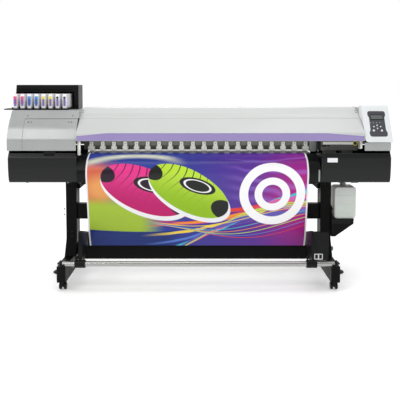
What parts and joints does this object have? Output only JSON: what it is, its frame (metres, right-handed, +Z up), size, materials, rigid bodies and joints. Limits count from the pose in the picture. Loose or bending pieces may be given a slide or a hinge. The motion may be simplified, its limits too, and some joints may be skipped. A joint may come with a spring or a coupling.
{
  "type": "wide-format roll printer cutter",
  "caption": "Free-standing roll-fed wide-format ink-jet printer with a cutter on its carriage, ink cartridges, a hinged front cover, a take-up unit and a stand on casters.",
  "frame": {"origin": "on the floor under the middle of the machine's bounding box", "axes": "+X to the right along the machine's width, +Y to the rear, +Z up; the front faces -Y"},
  "size_m": [2.7, 0.715, 1.384],
  "materials": {
    "black_steel": "satin black powder coat",
    "black_moulding": "satin black moulding",
    "silver_cover": "silver grey satin paint",
    "light_cover": "very light grey satin paint, with a purple tinted window strip on the front cover",
    "pod_white": "off-white moulding",
    "table_metal": "grey anodised",
    "bright_aluminium": "polished",
    "steel": "plated",
    "dark_grey": "dark grey moulding",
    "beige_grey": "light grey moulding",
    "rubber": "black",
    "vinyl_print": null,
    "white_roll": "white film wound on a core",
    "cardboard": "brown paper tube",
    "cartridge": "white case with a coloured end label",
    "milky_tank": "translucent white bottle",
    "key_white": "white keys"
  },
  "bodies": {
    "root": {"left_foot_beam": "black_steel", "right_foot_beam": "black_steel", "left_column": "black_steel", "right_column": "black_steel", "upper_crossbeam": "black_steel", "lower_crossbeam": "black_steel", "chassis_beam": "black_steel", "front_apron": "black_moulding", "platen": "table_metal", "carriage_rail": "bright_aluminium", "left_lower_cover": "black_moulding", "right_lower_cover": "black_moulding", "left_cover": "silver_cover", "top_cover": "light_cover", "right_cover": "silver_cover", "control_pod": "pod_white", "ink_station": "black_moulding", "takeup_pipe": "bright_aluminium", "takeup_motor_unit": "black_moulding", "tank_bracket": "black_steel", "media_sheet": "vinyl_print", "rear_roll_bar": "black_steel"},
    "front_cover_body": {"front_cover": "light_cover"},
    "left_maintenance_cover_body": {"left_maintenance_cover": "silver_cover"},
    "carriage_body": {"carriage": "dark_grey"},
    "cutter_unit_body": {"cutter_unit": "black_moulding"},
    "capping_station_body": {"capping_station": "dark_grey"},
    "pinch_roller_bank_body": {"pinch_roller_bank": "beige_grey"},
    "clamp_lever_body": {"clamp_lever": "beige_grey"},
    "grit_roller_body": {"grit_roller": "steel"},
    "takeup_holder_body": {"takeup_holder": "black_moulding"},
    "takeup_core_body": {"takeup_core": "cardboard"},
    "supply_roll_body": {"supply_roll": "white_roll"},
    "rear_roll_holder_left_body": {"rear_roll_holder_left": "black_moulding"},
    "rear_roll_holder_right_body": {"rear_roll_holder_right": "black_moulding"},
    "waste_tank_body": {"waste_tank": "milky_tank"},
    "left_front_caster_fork_body": {"left_front_caster_fork": "black_steel"},
    "right_front_caster_fork_body": {"right_front_caster_fork": "black_steel"},
    "left_front_caster_wheel_body": {"left_front_caster_wheel": "rubber"},
    "right_front_caster_wheel_body": {"right_front_caster_wheel": "rubber"},
    "left_rear_caster_wheel_body": {"left_rear_caster_wheel": "rubber"},
    "right_rear_caster_wheel_body": {"right_rear_caster_wheel": "rubber"},
    "left_levelling_foot_body": {"left_levelling_foot": "steel"},
    "right_levelling_foot_body": {"right_levelling_foot": "steel"},
    "takeup_switch_1_body": {"takeup_switch_1": "rubber"},
    "takeup_switch_2_body": {"takeup_switch_2": "rubber"},
    "arrow_key_up_body": {"arrow_key_up": "key_white"},
    "arrow_key_down_body": {"arrow_key_down": "key_white"},
    "arrow_key_left_body": {"arrow_key_left": "key_white"},
    "arrow_key_right_body": {"arrow_key_right": "key_white"},
    "round_key_left_body": {"round_key_left": "key_white"},
    "round_key_right_body": {"round_key_right": "key_white"},
    "ink_cartridge_1_body": {"ink_cartridge_1": "cartridge"},
    "ink_cartridge_2_body": {"ink_cartridge_2": "cartridge"},
    "ink_cartridge_3_body": {"ink_cartridge_3": "cartridge"},
    "ink_cartridge_4_body": {"ink_cartridge_4": "cartridge"},
    "ink_cartridge_5_body": {"ink_cartridge_5": "cartridge"},
    "ink_cartridge_6_body": {"ink_cartridge_6": "cartridge"},
    "ink_cartridge_7_body": {"ink_cartridge_7": "cartridge"},
    "ink_cartridge_8_body": {"ink_cartridge_8": "cartridge"}
  },
  "joints": [
    {"name": "front_cover_hinge", "type": "hinge", "parent": "root", "child": "front_cover_body", "pos_m": [0.176, -0.0925, 1.148], "axis": [-1, 0, 0], "range_deg": [0, 75]},
    {"name": "left_maintenance_hinge", "type": "hinge", "parent": "root", "child": "left_maintenance_cover_body", "pos_m": [-0.994, -0.13, 1.148], "axis": [-1, 0, 0], "range_deg": [0, 75]},
    {"name": "carriage_travel", "type": "slide", "parent": "root", "child": "carriage_body", "axis": [1, 0, 0], "range_m": [-2.05, 0]},
    {"name": "cutter_drop", "type": "slide", "parent": "carriage_body", "child": "cutter_unit_body", "axis": [0, 0, -1], "range_m": [0, 0.012], "stiffness_N_per_m": 200, "springref_m": -0.012},
    {"name": "cap_lowering", "type": "slide", "parent": "root", "child": "capping_station_body", "axis": [0, 0, -1], "range_m": [0, 0.008]},
    {"name": "clamp_lever_pivot", "type": "hinge", "parent": "root", "child": "clamp_lever_body", "pos_m": [1.146, 0.0075, 0.945], "axis": [-1, 0, 0], "range_deg": [0, 30]},
    {"name": "pinch_lift", "type": "slide", "parent": "root", "child": "pinch_roller_bank_body", "axis": [0, 0, 1], "range_m": [0, 0.006]},
    {"name": "grit_roller_turn", "type": "hinge", "parent": "root", "child": "grit_roller_body", "pos_m": [0.026, 0.0275, 0.8932], "axis": [1, 0, 0], "continuous": true},
    {"name": "takeup_holder_slide", "type": "slide", "parent": "root", "child": "takeup_holder_body", "axis": [1, 0, 0], "range_m": [-0.05, 0]},
    {"name": "takeup_core_turn", "type": "hinge", "parent": "root", "child": "takeup_core_body", "pos_m": [0.018, -0.0675, 0.295], "axis": [1, 0, 0], "continuous": true},
    {"name": "supply_roll_turn", "type": "hinge", "parent": "root", "child": "supply_roll_body", "pos_m": [0.026, 0.2695, 0.6], "axis": [1, 0, 0], "continuous": true},
    {"name": "rear_holder_left_slide", "type": "slide", "parent": "root", "child": "rear_roll_holder_left_body", "axis": [1, 0, 0], "range_m": [-0.05, 0]},
    {"name": "rear_holder_right_slide", "type": "slide", "parent": "root", "child": "rear_roll_holder_right_body", "axis": [1, 0, 0], "range_m": [0, 0.05]},
    {"name": "cartridge_1_slide", "type": "slide", "parent": "root", "child": "ink_cartridge_1_body", "axis": [0, -1, 0], "range_m": [0, 0.29]},
    {"name": "cartridge_2_slide", "type": "slide", "parent": "root", "child": "ink_cartridge_2_body", "axis": [0, -1, 0], "range_m": [0, 0.29]},
    {"name": "cartridge_3_slide", "type": "slide", "parent": "root", "child": "ink_cartridge_3_body", "axis": [0, -1, 0], "range_m": [0, 0.29]},
    {"name": "cartridge_4_slide", "type": "slide", "parent": "root", "child": "ink_cartridge_4_body", "axis": [0, -1, 0], "range_m": [0, 0.29]},
    {"name": "cartridge_5_slide", "type": "slide", "parent": "root", "child": "ink_cartridge_5_body", "axis": [0, -1, 0], "range_m": [0, 0.29]},
    {"name": "cartridge_6_slide", "type": "slide", "parent": "root", "child": "ink_cartridge_6_body", "axis": [0, -1, 0], "range_m": [0, 0.29]},
    {"name": "cartridge_7_slide", "type": "slide", "parent": "root", "child": "ink_cartridge_7_body", "axis": [0, -1, 0], "range_m": [0, 0.29]},
    {"name": "cartridge_8_slide", "type": "slide", "parent": "root", "child": "ink_cartridge_8_body", "axis": [0, -1, 0], "range_m": [0, 0.29]},
    {"name": "waste_tank_slide", "type": "slide", "parent": "root", "child": "waste_tank_body", "axis": [0, -1, 0], "range_m": [0, 0.2]},
    {"name": "left_front_swivel", "type": "hinge", "parent": "root", "child": "left_front_caster_fork_body", "pos_m": [-0.893, -0.3025, 0.056], "axis": [0, 0, 1], "continuous": true},
    {"name": "left_front_wheel_turn", "type": "hinge", "parent": "left_front_caster_fork_body", "child": "left_front_caster_wheel_body", "pos_m": [-0.893, -0.2875, 0.025], "axis": [1, 0, 0], "continuous": true},
    {"name": "left_rear_wheel_turn", "type": "hinge", "parent": "root", "child": "left_rear_caster_wheel_body", "pos_m": [-0.893, 0.3025, 0.025], "axis": [1, 0, 0], "continuous": true},
    {"name": "left_foot_screw", "type": "slide", "parent": "root", "child": "left_levelling_foot_body", "axis": [0, 0, 1], "range_m": [0, 0.03]},
    {"name": "right_front_swivel", "type": "hinge", "parent": "root", "child": "right_front_caster_fork_body", "pos_m": [0.945, -0.3025, 0.056], "axis": [0, 0, 1], "continuous": true},
    {"name": "right_front_wheel_turn", "type": "hinge", "parent": "right_front_caster_fork_body", "child": "right_front_caster_wheel_body", "pos_m": [0.945, -0.2875, 0.025], "axis": [1, 0, 0], "continuous": true},
    {"name": "right_rear_wheel_turn", "type": "hinge", "parent": "root", "child": "right_rear_caster_wheel_body", "pos_m": [0.945, 0.3025, 0.025], "axis": [1, 0, 0], "continuous": true},
    {"name": "right_foot_screw", "type": "slide", "parent": "root", "child": "right_levelling_foot_body", "axis": [0, 0, 1], "range_m": [0, 0.03]},
    {"name": "takeup_switch_1_rock", "type": "hinge", "parent": "root", "child": "takeup_switch_1_body", "pos_m": [0.816, -0.3335, 0.238], "axis": [1, 0, 0], "range_deg": [-8, 8]},
    {"name": "takeup_switch_2_rock", "type": "hinge", "parent": "root", "child": "takeup_switch_2_body", "pos_m": [0.843, -0.3335, 0.238], "axis": [1, 0, 0], "range_deg": [-8, 8]},
    {"name": "arrow_key_up_press", "type": "slide", "parent": "root", "child": "arrow_key_up_body", "axis": [0, 0.8859, -0.4639], "range_m": [0, 0.002], "stiffness_N_per_m": 300},
    {"name": "arrow_key_down_press", "type": "slide", "parent": "root", "child": "arrow_key_down_body", "axis": [0, 0.8859, -0.4639], "range_m": [0, 0.002], "stiffness_N_per_m": 300},
    {"name": "arrow_key_left_press", "type": "slide", "parent": "root", "child": "arrow_key_left_body", "axis": [0, 0.8859, -0.4639], "range_m": [0, 0.002], "stiffness_N_per_m": 300},
    {"name": "arrow_key_right_press", "type": "slide", "parent": "root", "child": "arrow_key_right_body", "axis": [0, 0.8859, -0.4639], "range_m": [0, 0.002], "stiffness_N_per_m": 300},
    {"name": "round_key_left_press", "type": "slide", "parent": "root", "child": "round_key_left_body", "axis": [0, 0.8859, -0.4639], "range_m": [0, 0.002], "stiffness_N_per_m": 300},
    {"name": "round_key_right_press", "type": "slide", "parent": "root", "child": "round_key_right_body", "axis": [0, 0.8859, -0.4639], "range_m": [0, 0.002], "stiffness_N_per_m": 300}
  ],
  "couplings": [
    {"joint": "pinch_lift", "follows": "clamp_lever_pivot", "m_per_rad": 0.0114}
  ]
}
